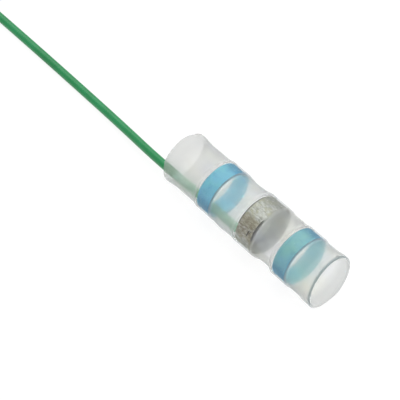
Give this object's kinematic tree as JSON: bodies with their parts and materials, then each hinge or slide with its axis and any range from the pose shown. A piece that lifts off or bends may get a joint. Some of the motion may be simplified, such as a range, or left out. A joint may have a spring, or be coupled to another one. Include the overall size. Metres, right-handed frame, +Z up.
{
  "type": "solder seal wire connector",
  "caption": "Translucent heat-shrink sleeve holding a solder ring between two blue sealing rings, with a green insulated lead fitted in its rear end.",
  "frame": {"origin": "on the surface that the connector lies on, under the middle of the sleeve", "axes": "+X along the sleeve towards its open front mouth, +Z up; the lead leaves towards -X"},
  "size_m": [0.0915, 0.0103, 0.0072],
  "materials": {
    "sleeve": "milky translucent heat-shrink tube, smooth",
    "seal_ring": "pale blue meltable sealant, satin",
    "solder": "dull grey solder with a brown flux coat",
    "conductor": "tin-plated copper strands",
    "insulation": "green extruded insulation, satin",
    "tape": "off-white crepe tape"
  },
  "bodies": {
    "root": {"sleeve": "sleeve", "rear_seal_ring": "seal_ring", "front_seal_ring": "seal_ring", "solder_ring": "solder", "lead_conductor": "conductor", "lead_wire": "insulation", "lead_coil": "insulation", "coil_tie": "tape"}
  },
  "joints": []
}
